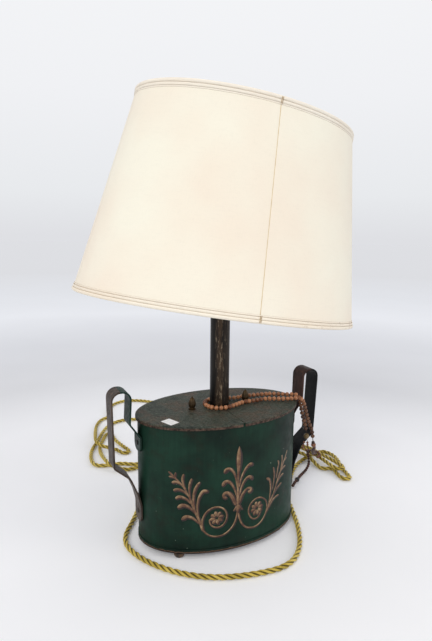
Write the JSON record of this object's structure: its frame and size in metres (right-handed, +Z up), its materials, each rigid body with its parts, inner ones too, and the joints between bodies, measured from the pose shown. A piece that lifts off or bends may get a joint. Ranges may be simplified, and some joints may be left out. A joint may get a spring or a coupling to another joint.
{
  "type": "table lamp",
  "caption": "Bouillotte-style table lamp on an oval painted tin with strap handles, tilting oval shade, twisted flex and a string of wooden beads.",
  "frame": {"origin": "on the table under the axis of the stem, in the middle of the oval can", "axes": "+Z up along the stem; X along the long axis of the can, through the two strap handles; -Y towards the decorated front"},
  "size_m": [0.5323, 0.7844, 0.6313],
  "materials": {
    "green_tinplate": "satin, aged",
    "lid_paint": "satin, crazed",
    "pine_board": "sawn",
    "black_iron": "rough, worn",
    "turned_wood_foot": "waxed",
    "zinc_steel": "satin",
    "dark_brass": "aged",
    "bronzed_steel": "satin, worn",
    "lamp_brass": "satin",
    "black_moulding": "gloss",
    "clear_glass": "clear",
    "lamp_mount_glass": "clear",
    "cream_card": "matte",
    "cream_ribbon": "woven",
    "black_rubber": "matte",
    "gold_braid": "braided",
    "white_plug": "satin",
    "fuse_ceramic": "matte",
    "brown_bead_wood": "polished",
    "dark_bead_wood": "polished"
  },
  "bodies": {
    "base": {"can_wall": "green_tinplate", "can_bottom": "green_tinplate", "base_rim": "green_tinplate", "base_board": "pine_board", "lid": "lid_paint", "handle_left": "black_iron", "handle_right": "black_iron", "handle_rivets": "black_iron", "foot_front_left": "turned_wood_foot", "foot_front_right": "turned_wood_foot", "foot_back_left": "turned_wood_foot", "foot_back_right": "turned_wood_foot", "foot_screws": "zinc_steel", "tie_rods": "zinc_steel", "tie_rod_nuts": "zinc_steel", "acorn_nut_left": "dark_brass", "acorn_nut_right": "dark_brass", "stem_tube": "bronzed_steel", "stem_ferrule": "zinc_steel", "stem_cap": "bronzed_steel", "stem_washer": "zinc_steel", "stem_nut": "zinc_steel", "threaded_rod": "zinc_steel", "holder_cap": "lamp_brass", "holder_skirt": "lamp_brass", "switch_block": "black_moulding", "contact_plungers": "lamp_brass", "shade_ring": "lamp_brass", "bulb_cap": "lamp_brass", "bulb_glass": "clear_glass", "bulb_filament": "lamp_mount_glass", "cord_gland": "black_rubber", "cord_sleeve": "black_rubber", "internal_flex": "gold_braid", "flex_cord": "gold_braid", "plug_cover": "white_plug", "plug_base": "white_plug", "plug_pins": "lamp_brass", "plug_fuse": "fuse_ceramic", "plug_screw": "zinc_steel", "bead_loop": "brown_bead_wood", "guru_bead": "brown_bead_wood", "bead_tail": "dark_bead_wood", "black_bead": "dark_bead_wood"},
    "switch": {"switch_bar": "black_moulding"},
    "gimbal": {"gimbal_ring": "lamp_brass", "gimbal_pivots": "lamp_brass", "pivot_spacers": "lamp_brass"},
    "shade": {"shade_carrier": "lamp_brass", "shade_bottom_wire": "lamp_brass", "shade_top_wire": "lamp_brass", "shade_cover": "cream_card", "shade_trim_bottom": "cream_ribbon", "shade_trim_top": "cream_ribbon"}
  },
  "joints": [
    {"name": "switch_push", "type": "slide", "parent": "base", "child": "switch", "axis": [0, 1, 0], "range_m": [-0.003, 0.003]},
    {"name": "shade_swivel", "type": "hinge", "parent": "base", "child": "gimbal", "pos_m": [0, 0, 0.3563], "axis": [0, 0, 1], "continuous": true},
    {"name": "shade_tilt", "type": "hinge", "parent": "gimbal", "child": "shade", "pos_m": [0, 0, 0.3563], "axis": [0.0838, 0.9965, 0], "range_deg": [-28.6, 11.4]}
  ]
}
